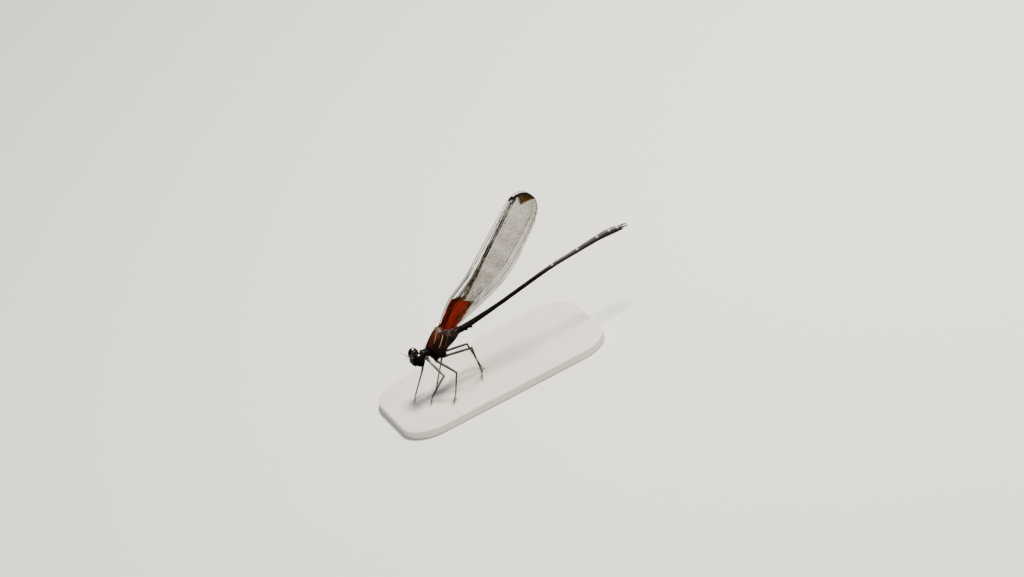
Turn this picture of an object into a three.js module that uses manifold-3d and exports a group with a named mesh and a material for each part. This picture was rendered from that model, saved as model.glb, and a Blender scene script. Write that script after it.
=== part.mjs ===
// A male rubyspot damselfly at life size, standing on a thin plate with its four wings closed over
// its back. Millimetres, +Z up, +X towards the tail, +Y to the animal's right. The origin is the
// centre of the plate's underside. The animal is modelled in a frame of its own, whose z = 0 is the
// level of the soles and whose x = 0 lies under the front of the abdomen.

import * as THREE from 'three';
import { mergeVertices } from 'three/addons/utils/BufferGeometryUtils.js';
import Module from 'manifold-3d';

const wasm = await Module();
wasm.setup();

// Driving dimensions
const GAP = 0.3;
const ROUND_SIDES = 12;
const LIMB_SIDES = 8;
const CLAW_SIDES = 6;
const BODY_SIDES = 20;
const LOBE_STEPS = [20, 14];
const OVAL_POWER = 0.85;
const END_REACH = 0.45;
const END_WIDTH = 0.55;

const STAND_LENGTH = 42;
const STAND_WIDTH = 24;
const STAND_THICKNESS = 1.6;
const STAND_CORNER = 6;
const STAND_CHAMFER = 0.3;
const STAND_CENTRE_X = 5;

// Thorax: stations along x, each with its underside, its back and its half width
const THORAX = [
  { x: -5.2, low: 7.6, high: 8.95, half: 0.78 },
  { x: -4.3, low: 6.8, high: 9.9, half: 1.3 },
  { x: -3.3, low: 6.25, high: 10.8, half: 1.62 },
  { x: -2.2, low: 6.75, high: 11.6, half: 1.78 },
  { x: -1.1, low: 7.3, high: 11.6, half: 1.75 },
  { x: 0.0, low: 7.7, high: 10.75, half: 1.45 },
  { x: 1.0, low: 8.15, high: 10.05, half: 1.05 },
  { x: 1.65, low: 8.5, high: 9.95, half: 0.72 },
];
const PROTHORAX = [
  { x: -6.75, low: 7.75, high: 8.5, half: 0.42 },
  { x: -6.2, low: 7.3, high: 9.0, half: 0.82 },
  { x: -5.6, low: 7.15, high: 9.15, half: 0.92 },
  { x: -4.9, low: 7.4, high: 8.9, half: 0.8 },
];

// Head: lobes as centre and radii; the eyes stand out at both sides
const SKULL = { centre: [-7.35, 0, 8.5], radii: [0.84, 1.55, 0.98] };
const FRONS = { centre: [-7.95, 0, 8.25], radii: [0.72, 0.82, 0.72] };
const LABRUM = { centre: [-8.0, 0, 7.5], radii: [0.62, 0.8, 0.55] };
const LABIUM = { centre: [-7.5, 0, 7.25], radii: [0.62, 0.6, 0.48] };
const EYE = { centre: [-7.2, 1.6, 8.36], radii: [1.0, 0.93, 1.3] };

const ANTENNA_ROOT = [-8.2, 0.62, 8.75];
const ANTENNA_BEND = [-8.85, 0.95, 9.3];
const ANTENNA_TIP = [-9.9, 1.75, 10.3];
const ANTENNA_RADII = [0.27, 0.25, 0.12];

// Abdomen: centre line as x and z, joints between the ten segments along x, radius at each joint
const ABDOMEN_LINE = [
  [1.3, 9.3], [3.4, 9.37], [5.7, 9.6], [10.5, 10.2], [16.9, 11.25],
  [23.0, 12.2], [28.5, 12.65], [32.9, 12.98], [35.4, 13.0], [37.9, 12.72],
];
const ABDOMEN_JOINTS = [1.95, 2.9, 5.1, 10.5, 16.9, 23.0, 28.5, 32.85, 35.35, 37.05, 37.9];
const ABDOMEN_RADII = [0.66, 0.64, 0.56, 0.42, 0.4, 0.42, 0.47, 0.56, 0.68, 0.6, 0.46];
const JOINT_FLARE = 0.045;
const FLARE_LENGTH = 0.35;
const CLASP_BUMPS = [
  { centre: [3.45, 0, 8.72], radii: [0.3, 0.26, 0.3] },
  { centre: [4.35, 0, 8.85], radii: [0.34, 0.3, 0.34] },
];
const CERCUS_PATH = [[37.8, 0.3, 12.85], [38.5, 0.5, 12.8], [39.0, 0.48, 12.7], [39.3, 0.3, 12.6]];
const CERCUS_RADII = [0.25, 0.27, 0.22, 0.1];

// Wings: four layers over the back, the hind wings inside and the fore wings outside, which draw
// together as they thin towards the tips. Each rises from its root at its angle. Its leading edge
// starts that far behind this line and bulges forward near the root; shares run from root to tip.
const FORE_WING = {
  root: [-0.8, 11.5], angle: 38.9, length: 29.4, rootChord: 0.75, chord: 6.2,
  start: 0.13, bulge: 0.85, layer: 1,
};
const HIND_WING = {
  root: [0.72, 10.45], angle: 42.0, length: 28.8, rootChord: 0.5, chord: 6.4,
  start: -0.2, bulge: 0.15, layer: 0,
};
const WING_STALK = 1.5;
const BULGE_AT = 0.16;
const BULGE_REACH = 0.13;
const WING_WIDEST = 0.6;
const WIDENING_FROM = -0.03;
const WIDENING_POWER = 1.25;
const TRAIL_POWER = 5;
const WING_TIP_START = 0.86;
const WING_TIP_POWER = 2.4;
const WING_TIP_DROP = 2.8;
const WING_REACH = 0.997;
const STATION_POWER = 1.35;
const MEMBRANE = 0.45;
const VEIN_RIDGE = 0.08;
const WING_EDGE = 0.3;
const THIN_FROM = 0.6;
const TIP_THINNING = 0.45;
const WING_STATIONS = 22;
const MAIN_VEINS = [0, 0.12, 0.3, 0.48, 0.66, 0.84];

// Legs: root inside the body, hip, knee, ankle and toe of each, with the right ones at +y
const LEGS = {
  fore_left: {
    root: [-5.6, -0.3, 8.0], hip: [-5.6, -0.9, 7.3], knee: [-4.65, -4.3, 4.5],
    ankle: [-7.7, -1.9, 0.5], toe: [-8.6, -3.2, 0.22],
  },
  fore_right: {
    root: [-5.6, 0.3, 8.0], hip: [-5.7, 0.9, 7.3], knee: [-6.6, 2.8, 3.9],
    ankle: [-9.7, 1.9, 0.5], toe: [-10.6, 0.6, 0.22],
  },
  mid_left: {
    root: [-4.0, -0.35, 7.5], hip: [-4.2, -1.0, 6.3], knee: [-2.6, -6.3, 5.0],
    ankle: [-3.9, -4.8, 0.5], toe: [-5.3, -6.9, 0.22],
  },
  mid_right: {
    root: [-4.0, 0.35, 7.5], hip: [-4.2, 1.0, 6.3], knee: [-1.9, 4.3, 3.7],
    ankle: [-5.3, 1.6, 0.5], toe: [-6.3, 0.1, 0.22],
  },
  hind_left: {
    root: [-2.4, -0.4, 7.6], hip: [-2.6, -1.0, 6.4], knee: [2.1, -4.9, 7.35],
    ankle: [2.75, -1.9, 0.5], toe: [1.95, -3.9, 0.22],
  },
  hind_right: {
    root: [-2.4, 0.4, 7.6], hip: [-2.6, 1.0, 6.4], knee: [3.1, 2.8, 4.5],
    ankle: [3.5, 0.9, 0.5], toe: [3.4, -0.9, 0.22],
  },
};
const COXA_RADIUS = 0.45;
const FEMUR_RADIUS = 0.33;
const KNEE_RADIUS = 0.29;
const TIBIA_RADIUS = 0.28;
const TARSUS_RADIUS = 0.28;
const CLAW_LENGTH = 0.55;
const CLAW_SPREAD = 0.45;
const CLAW_RADII = [0.2, 0.09];
const CLAW_TIP_HEIGHT = 0.14;
const HIP_RING_SHARE = 0.14;
const HIP_RING_WIDTH = 0.85;
const INSTEP_SHARE = 0.3;

const shell = (color, roughness) => new THREE.MeshStandardMaterial({ color, roughness, metalness: 0 });
const FINISH = {
  head: () => shell('#17181a', 0.25),
  eye: () => shell('#0d0d0f', 0.12),
  thorax: () => shell('#4a2018', 0.35),
  abdomen: () => shell('#15120f', 0.3),
  tail: () => shell('#4c474c', 0.45),
  leg: () => shell('#1b1a1a', 0.3),
  stand: () => shell('#d9d6cf', 0.6),
  wing: () => new THREE.MeshStandardMaterial({
    color: '#b9a46a', roughness: 0.2, metalness: 0, transparent: true, opacity: 0.5,
  }),
};

const vector = (p) => new THREE.Vector3(...p);

// A closed surface through rings with equally many points. Each end is capped by a strip across the
// ring, and the two halves of a ring are split alike, so that the faces of a thin vane match.
function skin(rings) {
  const count = rings[0].length;
  const points = rings.flat();
  const triangles = [];
  const at = (ring, k) => ring * count + (k % count);
  for (let ring = 0; ring + 1 < rings.length; ring++) {
    for (let k = 0; k < count; k++) {
      const [a, b] = [at(ring, k), at(ring, k + 1)];
      const [d, c] = [at(ring + 1, k), at(ring + 1, k + 1)];
      if (k < count / 2) triangles.push([a, b, c], [a, c, d]);
      else triangles.push([a, b, d], [b, c, d]);
    }
  }
  const last = rings.length - 1;
  for (let k = 0; k + 1 < count / 2; k++) {
    const [a, b, c, d] = [k, k + 1, count - 2 - k, count - 1 - k];
    triangles.push([a, d, b], [b, d, c]);
    triangles.push([at(last, a), at(last, b), at(last, d)], [at(last, b), at(last, c), at(last, d)]);
  }
  const volume = triangles.reduce(
    (sum, [a, b, c]) => sum + points[a].dot(points[b].clone().cross(points[c])), 0);
  if (volume < 0) triangles.forEach((triangle) => triangle.reverse());
  const geometry = new THREE.BufferGeometry().setFromPoints(points);
  geometry.setIndex(triangles.flat());
  return geometry;
}

function toSolid(geometry) {
  const bare = geometry.clone();
  bare.deleteAttribute('normal');
  bare.deleteAttribute('uv');
  const merged = mergeVertices(bare, 1e-4);
  const mesh = new wasm.Mesh({
    numProp: 3,
    vertProperties: new Float32Array(merged.attributes.position.array),
    triVerts: new Uint32Array(merged.index.array),
  });
  return new wasm.Manifold(mesh);
}

// The largest closed surface of a solid, as a geometry
function toGeometry(solid) {
  const pieces = solid.decompose();
  pieces.sort((a, b) => b.volume() - a.volume());
  const mesh = pieces[0].getMesh();
  const geometry = new THREE.BufferGeometry();
  geometry.setAttribute('position', new THREE.BufferAttribute(new Float32Array(mesh.vertProperties), 3));
  geometry.setIndex(new THREE.BufferAttribute(new Uint32Array(mesh.triVerts), 1));
  return geometry;
}

const join = (...geometries) => geometries.map(toSolid).reduce((all, one) => all.add(one));
const cutClear = (solid, ...keepouts) => keepouts.reduce((rest, one) => rest.subtract(toSolid(one)), solid);

// An ellipsoid of the given lobe, grown all round by the clearance
function lobe({ centre, radii }, grow = 0, side = 1) {
  const geometry = new THREE.SphereGeometry(1, ...LOBE_STEPS);
  geometry.scale(...radii.map((radius) => radius + grow));
  geometry.translate(centre[0], centre[1] * side, centre[2]);
  return geometry;
}

// A body lofted through upright oval sections, smoothed between its stations
function ovalBody(stations, grow = 0) {
  const smooth = (key) => new THREE.CatmullRomCurve3(
    stations.map((station) => new THREE.Vector3(station.x, station[key], 0)));
  const lows = smooth('low');
  const highs = smooth('high');
  const halves = smooth('half');
  const steps = 2 * (stations.length - 1);
  const rings = [];
  for (let i = 0; i <= steps; i++) {
    const t = i / steps;
    const end = (i === 0 ? -grow : 0) + (i === steps ? grow : 0);
    const x = lows.getPoint(t).x + end;
    const [low, high] = [lows.getPoint(t).y - grow, highs.getPoint(t).y + grow];
    const half = halves.getPoint(t).y + grow;
    const ring = [];
    for (let k = 0; k < BODY_SIDES; k++) {
      const turn = 2 * Math.PI * (k + 0.5) / BODY_SIDES;
      const squared = (value) => Math.sign(value) * Math.abs(value) ** OVAL_POWER;
      ring.push(new THREE.Vector3(x, half * squared(Math.cos(turn)),
        (low + high) / 2 + (high - low) / 2 * squared(Math.sin(turn))));
    }
    rings.push(ring);
  }
  return skin(rings);
}

// A round tube through points with a radius at each, with softened ends
function limb(path, radii, { sides = LIMB_SIDES, grow = 0 } = {}) {
  const points = path.map(vector);
  const wide = radii.map((radius) => radius + grow);
  const last = points.length - 1;
  const first = points[0].clone().sub(points[1]).normalize();
  const final = points[last].clone().sub(points[last - 1]).normalize();
  const stops = [
    { at: points[0].clone().addScaledVector(first, wide[0] * END_REACH + grow), radius: wide[0] * END_WIDTH },
    ...points.map((at, i) => ({ at, radius: wide[i] })),
    { at: points[last].clone().addScaledVector(final, wide[last] * END_REACH), radius: wide[last] * END_WIDTH },
  ];
  let across = new THREE.Vector3(0, 0, 1).cross(first);
  if (across.length() < 0.1) across = new THREE.Vector3(1, 0, 0);
  const rings = stops.map(({ at, radius }, i) => {
    const before = stops[Math.max(i - 1, 0)].at;
    const after = stops[Math.min(i + 1, stops.length - 1)].at;
    const along = after.clone().sub(before).normalize();
    across = across.clone().addScaledVector(along, -across.dot(along)).normalize();
    const other = along.clone().cross(across);
    const ring = [];
    for (let k = 0; k < sides; k++) {
      const turn = 2 * Math.PI * (k + 0.5) / sides;
      ring.push(at.clone().addScaledVector(across, radius * Math.cos(turn))
        .addScaledVector(other, radius * Math.sin(turn)));
    }
    return ring;
  });
  return skin(rings);
}

const model = new THREE.Group();
const animal = new THREE.Group();
animal.position.set(-STAND_CENTRE_X, 0, STAND_THICKNESS + GAP);
model.add(animal);

function addPart(name, geometry, finish, parent = animal) {
  const mesh = new THREE.Mesh(geometry, FINISH[finish]());
  mesh.name = name;
  parent.add(mesh);
}

// The plate that carries the animal, with softened edges
function standPlate() {
  const [x, y, r] = [STAND_LENGTH / 2 - STAND_CHAMFER, STAND_WIDTH / 2 - STAND_CHAMFER, STAND_CORNER];
  const outline = new THREE.Shape();
  outline.moveTo(-x + r, -y);
  outline.lineTo(x - r, -y);
  outline.absarc(x - r, -y + r, r, -Math.PI / 2, 0);
  outline.lineTo(x, y - r);
  outline.absarc(x - r, y - r, r, 0, Math.PI / 2);
  outline.lineTo(-x + r, y);
  outline.absarc(-x + r, y - r, r, Math.PI / 2, Math.PI);
  outline.lineTo(-x, -y + r);
  outline.absarc(-x + r, -y + r, r, Math.PI, 3 * Math.PI / 2);
  const plate = new THREE.ExtrudeGeometry(outline, {
    depth: STAND_THICKNESS - 2 * STAND_CHAMFER,
    bevelThickness: STAND_CHAMFER,
    bevelSize: STAND_CHAMFER,
    bevelSegments: 2,
    curveSegments: 8,
  });
  plate.translate(0, 0, STAND_CHAMFER);
  return toGeometry(toSolid(plate));
}
addPart('stand_base', standPlate(), 'stand', model);

// Thorax, prothorax and head, each cut clear of the one behind it
const skullClear = [lobe(SKULL, GAP), lobe(FRONS, GAP)];
const headClear = [...skullClear, lobe(EYE, GAP, -1), lobe(EYE, GAP, 1)];
const thoraxClear = ovalBody(THORAX, GAP);
addPart('thorax', toGeometry(toSolid(ovalBody(THORAX))), 'thorax');
addPart('prothorax', toGeometry(cutClear(toSolid(ovalBody(PROTHORAX)), thoraxClear, ...headClear)), 'thorax');
addPart('head', toGeometry(join(lobe(SKULL), lobe(FRONS))), 'head');
addPart('mouthparts', toGeometry(cutClear(join(lobe(LABRUM), lobe(LABIUM)), ...skullClear)), 'head');

for (const [name, side] of [['left', -1], ['right', 1]]) {
  const mirrored = (point) => [point[0], point[1] * side, point[2]];
  addPart(`eye_${name}`, toGeometry(cutClear(toSolid(lobe(EYE, 0, side)), ...skullClear)), 'eye');
  const feeler = limb([ANTENNA_ROOT, ANTENNA_BEND, ANTENNA_TIP].map(mirrored), ANTENNA_RADII);
  const eyeClear = lobe(EYE, GAP, side);
  addPart(`antenna_${name}`, toGeometry(cutClear(toSolid(feeler), ...skullClear, eyeClear)), 'leg');
}

// Abdomen: ten tubes along one curve, each flared a little where it meets the next
const SEARCH_STEPS = 30;
const RING_SPACING = 1.1;
const BLACK_SEGMENTS = 5;
const spine = new THREE.CatmullRomCurve3(ABDOMEN_LINE.map(([x, z]) => new THREE.Vector3(x, 0, z)));
function spineAt(x) {
  let [low, high] = [0, 1];
  for (let i = 0; i < SEARCH_STEPS; i++) {
    const middle = (low + high) / 2;
    if (spine.getPoint(middle).x < x) low = middle;
    else high = middle;
  }
  return { at: spine.getPoint(low), along: spine.getTangent(low) };
}
function abdomenSegment(index) {
  const start = ABDOMEN_JOINTS[index] + GAP / 2;
  const end = ABDOMEN_JOINTS[index + 1] - GAP / 2;
  const steps = Math.max(3, Math.round((end - start) / RING_SPACING));
  const rings = [];
  for (let i = 0; i <= steps; i++) {
    const t = i / steps;
    const { at, along } = spineAt(start + (end - start) * t);
    const near = Math.max(0, 1 - Math.min(t, 1 - t) * (end - start) / FLARE_LENGTH);
    const radius = THREE.MathUtils.lerp(ABDOMEN_RADII[index], ABDOMEN_RADII[index + 1], t)
      + JOINT_FLARE * near * near;
    const up = new THREE.Vector3(0, 1, 0).cross(along).negate();
    const ring = [];
    for (let k = 0; k < ROUND_SIDES; k++) {
      const turn = 2 * Math.PI * (k + 0.5) / ROUND_SIDES;
      ring.push(at.clone().addScaledVector(up, radius * Math.sin(turn))
        .add(new THREE.Vector3(0, radius * Math.cos(turn), 0)));
    }
    rings.push(ring);
  }
  return skin(rings);
}
for (let index = 0; index < ABDOMEN_JOINTS.length - 1; index++) {
  const claspers = index === 1 ? CLASP_BUMPS.map((bump) => lobe(bump)) : [];
  const solid = cutClear(join(abdomenSegment(index), ...claspers), thoraxClear);
  const name = `abdomen_${String(index + 1).padStart(2, '0')}`;
  addPart(name, toGeometry(solid), index < BLACK_SEGMENTS ? 'abdomen' : 'tail');
}
const TAIL_START = [35, 0, 12.9];
const TAIL_START_RADIUS = 0.5;
const TAIL_END = [ABDOMEN_JOINTS[10] - GAP / 2, 0, ABDOMEN_LINE[9][1]];
for (const [name, side] of [['left', -1], ['right', 1]]) {
  const path = CERCUS_PATH.map(([x, y, z]) => [x, y * side, z]);
  const tailRadii = [TAIL_START_RADIUS, ABDOMEN_RADII[10] + JOINT_FLARE];
  const lastSegment = limb([TAIL_START, TAIL_END], tailRadii, { grow: GAP, sides: ROUND_SIDES });
  addPart(`cercus_${name}`, toGeometry(cutClear(toSolid(limb(path, CERCUS_RADII)), lastSegment)), 'tail');
}

// Wings: both edges are measured across from the line through the root, at share u of the length
function wingEdges(u, { chord, rootChord, start, bulge }) {
  const along = Math.max(u, 0);
  const widening = Math.min((along - WIDENING_FROM) / (WING_WIDEST - WIDENING_FROM), 1);
  const rise = Math.sin(Math.PI / 2 * widening) ** WIDENING_POWER;
  const past = Math.max(0, (along - WING_WIDEST) / (1 - WING_WIDEST));
  const tipward = Math.max(0, (along - WING_TIP_START) / (1 - WING_TIP_START));
  const straight = start - bulge * Math.exp(-(((along - BULGE_AT) / BULGE_REACH) ** 2));
  const lead = straight + (WING_TIP_DROP - straight) * (1 - Math.sqrt(1 - tipward ** WING_TIP_POWER));
  const full = rootChord + (chord - rootChord) * rise;
  const trail = WING_TIP_DROP + (full - WING_TIP_DROP) * Math.sqrt(1 - past ** TRAIL_POWER);
  return { lead, trail: along < WING_WIDEST ? full : trail };
}
// The inner face is flat and lies against the next layer; the main veins are ridges on the outer one
function wingBlade(wing, side) {
  const angle = THREE.MathUtils.degToRad(wing.angle);
  const spanward = new THREE.Vector3(Math.cos(angle), 0, Math.sin(angle));
  const chordward = new THREE.Vector3(Math.sin(angle), 0, -Math.cos(angle));
  const root = new THREE.Vector3(wing.root[0], 0, wing.root[1]);
  const lines = [];
  MAIN_VEINS.forEach((vein, i) => {
    const next = i + 1 < MAIN_VEINS.length ? MAIN_VEINS[i + 1] : 1;
    lines.push({ across: vein, depth: MEMBRANE + VEIN_RIDGE });
    lines.push({ across: (vein + next) / 2, depth: MEMBRANE });
  });
  lines.push({ across: 1, depth: WING_EDGE });
  const rings = [];
  for (let i = -1; i <= WING_STATIONS; i++) {
    const t = i / WING_STATIONS;
    const u = i < 0 ? -WING_STALK / wing.length : WING_REACH * (1 - (1 - t) ** STATION_POWER);
    const { lead, trail } = wingEdges(u, wing);
    const thin = 1 - TIP_THINNING * THREE.MathUtils.smoothstep(u, THIN_FROM, 1);
    const inner = GAP / 2 + wing.layer * ((MEMBRANE + VEIN_RIDGE) * thin + GAP);
    const point = (across, out) => root.clone()
      .addScaledVector(spanward, u * wing.length)
      .addScaledVector(chordward, lead + (trail - lead) * across)
      .setY(side * out);
    const outerFace = lines.map(({ across, depth }) => point(across, inner + depth * thin));
    const innerFace = lines.map(({ across }) => point(across, inner)).reverse();
    rings.push([...outerFace, ...innerFace]);
  }
  return skin(rings);
}
const waistLine = ABDOMEN_LINE.slice(0, 3).map(([x, z]) => [x, 0, z]);
const waist = limb(waistLine, ABDOMEN_RADII.slice(0, 3), { grow: GAP + JOINT_FLARE });
for (const [name, side] of [['left', -1], ['right', 1]]) {
  for (const [pair, wing] of [['fore', FORE_WING], ['hind', HIND_WING]]) {
    const blade = toGeometry(cutClear(toSolid(wingBlade(wing, side)), thoraxClear, waist));
    addPart(`wing_${pair}_${name}`, blade, 'wing');
  }
}

// Legs: thigh with its hip, shin, and a foot with two claws and a flat sole
const prothoraxClear = ovalBody(PROTHORAX, GAP);
const underFloor = new THREE.BoxGeometry(STAND_LENGTH, STAND_WIDTH, GAP).translate(0, 0, -GAP / 2);
for (const [name, leg] of Object.entries(LEGS)) {
  const [hip, knee, ankle, toe] = [leg.hip, leg.knee, leg.ankle, leg.toe].map(vector);
  const trochanter = hip.clone().lerp(knee, HIP_RING_SHARE);
  const thighPath = [leg.root, leg.hip, trochanter.toArray(), leg.knee];
  const thighRadii = [COXA_RADIUS, COXA_RADIUS * HIP_RING_WIDTH, FEMUR_RADIUS, KNEE_RADIUS];
  const thigh = cutClear(toSolid(limb(thighPath, thighRadii)), thoraxClear, prothoraxClear);
  addPart(`leg_${name}_thigh`, toGeometry(thigh), 'leg');

  const shinPath = [leg.knee, leg.ankle];
  const thighClear = limb(thighPath, thighRadii, { grow: GAP });
  const shin = cutClear(toSolid(limb(shinPath, [KNEE_RADIUS, TIBIA_RADIUS])), thighClear);
  addPart(`leg_${name}_shin`, toGeometry(shin), 'leg');

  const forward = toe.clone().sub(ankle).setZ(0).normalize();
  const sideways = new THREE.Vector3(-forward.y, forward.x, 0);
  const instep = ankle.clone().lerp(toe, INSTEP_SHARE).setZ(toe.z);
  const footPath = [leg.ankle, instep.toArray(), leg.toe];
  const claws = [-1, 1].map((way) => {
    const tip = toe.clone().addScaledVector(forward, CLAW_LENGTH)
      .addScaledVector(sideways, way * CLAW_SPREAD).setZ(CLAW_TIP_HEIGHT);
    return limb([leg.toe, tip.toArray()], CLAW_RADII, { sides: CLAW_SIDES });
  });
  const foot = join(limb(footPath, [TARSUS_RADIUS, TARSUS_RADIUS, TARSUS_RADIUS]), ...claws);
  const shinClear = limb(shinPath, [KNEE_RADIUS, TIBIA_RADIUS], { grow: GAP });
  addPart(`leg_${name}_foot`, toGeometry(cutClear(foot, shinClear, underFloor)), 'leg');
}

export default model;
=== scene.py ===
import math

import bpy
import numpy as np
from mathutils import Matrix, Vector


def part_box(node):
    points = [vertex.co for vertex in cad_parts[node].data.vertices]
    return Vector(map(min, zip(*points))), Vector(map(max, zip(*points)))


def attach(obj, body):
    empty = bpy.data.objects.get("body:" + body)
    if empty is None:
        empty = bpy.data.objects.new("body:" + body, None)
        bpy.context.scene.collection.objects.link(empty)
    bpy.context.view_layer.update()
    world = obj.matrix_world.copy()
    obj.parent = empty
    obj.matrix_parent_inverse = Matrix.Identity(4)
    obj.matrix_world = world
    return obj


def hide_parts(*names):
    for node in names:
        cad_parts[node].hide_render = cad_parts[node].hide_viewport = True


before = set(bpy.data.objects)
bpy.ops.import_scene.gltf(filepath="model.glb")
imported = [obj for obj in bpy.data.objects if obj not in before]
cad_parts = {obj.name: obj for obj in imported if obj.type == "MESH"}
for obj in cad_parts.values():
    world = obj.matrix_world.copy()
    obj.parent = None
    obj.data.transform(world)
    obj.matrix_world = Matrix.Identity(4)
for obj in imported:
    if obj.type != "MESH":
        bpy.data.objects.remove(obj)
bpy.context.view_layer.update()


# The view: a long lens from the animal's left, above its back, with the picture turned so that the
# abdomen climbs to the upper right. The place of the picture's middle is found from one point of
# the photograph, where the abdomen leaves the thorax.
PIXELS_PER_MM = 5.42
PICTURE = (1024, 577)
ABDOMEN_ROOT_PIXEL = (448, 333)
ABDOMEN_ROOT = np.array((0.0, 0.0, 9.8))
AZIMUTH, ELEVATION, ROLL = (math.radians(angle) for angle in (-12.32, 26.81, 21.88))
LENS, SENSOR = 200.0, 36.0
SOLE_GAP = 0.0003
ANIMAL_ORIGIN = np.array((-0.005, 0.0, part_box("stand_base")[1][2] + SOLE_GAP))


def in_row(points_mm):
    """Animal frame in millimetres to the row's frame in metres."""
    return np.asarray(points_mm) * 0.001 + ANIMAL_ORIGIN


view = np.array((-math.sin(AZIMUTH) * math.cos(ELEVATION),
                 math.cos(AZIMUTH) * math.cos(ELEVATION), -math.sin(ELEVATION)))
level_right = np.cross(view, (0, 0, 1))
level_right /= np.linalg.norm(level_right)
level_up = np.cross(level_right, view)
right = math.cos(ROLL) * level_right - math.sin(ROLL) * level_up
up = math.sin(ROLL) * level_right + math.cos(ROLL) * level_up
across = (PICTURE[0] / 2 - ABDOMEN_ROOT_PIXEL[0]) / PIXELS_PER_MM
above = (ABDOMEN_ROOT_PIXEL[1] - PICTURE[1] / 2) / PIXELS_PER_MM
aim = in_row(ABDOMEN_ROOT + across * right + above * up)
distance = PICTURE[0] / PIXELS_PER_MM * 0.001 * LENS / SENSOR

camera = bpy.data.objects.new("camera", bpy.data.cameras.new("camera"))
bpy.context.collection.objects.link(camera)
camera.data.lens, camera.data.sensor_width = LENS, SENSOR
camera.data.clip_start, camera.data.clip_end = 0.05, 20.0
facing = Matrix(np.column_stack((right, up, -view)).tolist()).to_4x4()
camera.matrix_world = Matrix.Translation(aim - view * distance) @ facing
bpy.context.scene.camera = camera


# Light and floor: a sunlit feel from one small bright softbox almost overhead, a wide pale fill on
# the camera's side and a soft rim from behind, over a matte pale floor that fills the picture.
# Only the key is mirrored in glossy parts, as if black flags hid the rest, so that black stays black.
def linear(colour):
    """An sRGB hex colour to linear red, green, blue and alpha 1."""
    channels = [int(colour[i:i + 2], 16) / 255 for i in (1, 3, 5)]
    return [c / 12.92 if c <= 0.04045 else ((c + 0.055) / 1.055) ** 2.4 for c in channels] + [1.0]


def add(nodes, kind, inputs=None, **settings):
    """Adds one node: settings are its own properties, inputs are values or sockets to link."""
    node = nodes.new(kind)
    for key, value in settings.items():
        setattr(node, key, value)
    for key, value in (inputs or {}).items():
        if isinstance(value, bpy.types.NodeSocket):
            nodes.id_data.links.new(value, node.inputs[key])
        else:
            node.inputs[key].default_value = value
    return node


def softbox(name, offset, size, watts, colour):
    """A square area light that looks at the middle of the animal from an offset in metres."""
    lamp = bpy.data.lights.new(name, "AREA")
    lamp.size, lamp.energy, lamp.color = size, watts, linear(colour)[:3]
    holder = bpy.data.objects.new(name, lamp)
    bpy.context.collection.objects.link(holder)
    holder.location = in_row(ANIMAL_MIDDLE) + np.array(offset)
    holder.rotation_euler = (-Vector(offset)).to_track_quat("-Z", "Y").to_euler()
    return holder


ANIMAL_MIDDLE = (8.0, 0.0, 10.0)
softbox("key_softbox", (0.165, 0.0, 0.43), 0.13, 5.8, "#fff6e8")
softbox("fill_softbox", (-0.25, -0.42, 0.30), 0.30, 1.0, "#f4f7ff").visible_glossy = False
softbox("rim_softbox", (0.30, 0.35, 0.18), 0.25, 0.8, "#ffffff").visible_glossy = False
world = bpy.data.worlds.new("studio")
bpy.context.scene.world = world
world.use_nodes = True
world.node_tree.nodes["Background"].inputs["Color"].default_value = linear("#e9ebec")
world.node_tree.nodes["Background"].inputs["Strength"].default_value = 0.36
world.cycles_visibility.glossy = False


def painted(name, roughness, colour=None, build=None):
    """A material with one Principled shader, in one colour or with the inputs that build returns."""
    material = bpy.data.materials.new(name)
    material.use_nodes = True
    nodes = material.node_tree.nodes
    nodes.clear()
    inputs = {"Roughness": roughness}
    inputs.update(build(nodes) if build else {"Base Color": linear(colour)})
    shader = add(nodes, "ShaderNodeBsdfPrincipled", inputs)
    add(nodes, "ShaderNodeOutputMaterial", {"Surface": shader.outputs["BSDF"]})
    return material


FLOOR_HALF = 2.5
FLOOR_DROP = 0.00002  # keeps the floor just under the plate
floor_mesh = bpy.data.meshes.new("floor")
floor_mesh.from_pydata([(-FLOOR_HALF, -FLOOR_HALF, 0), (FLOOR_HALF, -FLOOR_HALF, 0),
                        (FLOOR_HALF, FLOOR_HALF, 0), (-FLOOR_HALF, FLOOR_HALF, 0)], [], [(0, 1, 2, 3)])
floor = bpy.data.objects.new("floor", floor_mesh)
bpy.context.collection.objects.link(floor)
floor.location.z = -FLOOR_DROP
floor.visible_glossy = False
floor_mesh.materials.append(painted("floor_matte_paint", 0.8, "#dfe0dc"))


# The plate: a thin cast acrylic plate sprayed in pale matte paint, the plain stand of the model.
# It stays the CAD solid. Spraying leaves a fine orange-peel grain and faint lighter patches, which
# the eye sees as a soft surface without a mirror image.
GRAIN_MM, GRAIN_HEIGHT_MM, PATCH_MM = 0.35, 0.04, 7.0


def sprayed_paint(nodes):
    """The grain as bump, over wide patches between two close pale tones."""
    place = add(nodes, "ShaderNodeTexCoord").outputs["Object"]
    grain = add(nodes, "ShaderNodeTexNoise", {"Vector": place, "Scale": 1000 / GRAIN_MM,
                                              "Detail": 3.0})
    patches = add(nodes, "ShaderNodeTexNoise", {"Vector": place, "Scale": 1000 / PATCH_MM})
    shade = add(nodes, "ShaderNodeMix", {0: patches.outputs["Fac"], 6: linear("#cfccc3"),
                                         7: linear("#dad7cf")}, data_type="RGBA")
    bump = add(nodes, "ShaderNodeBump", {"Height": grain.outputs["Fac"], "Strength": 0.3,
                                         "Distance": GRAIN_HEIGHT_MM * 0.001})
    return {"Base Color": shade.outputs[2], "Normal": bump.outputs["Normal"]}


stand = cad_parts["stand_base"]
stand.visible_glossy = False
stand.data.materials.clear()
stand.data.materials.append(painted("stand_matte_spray_paint", 0.55, build=sprayed_paint))


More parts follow.
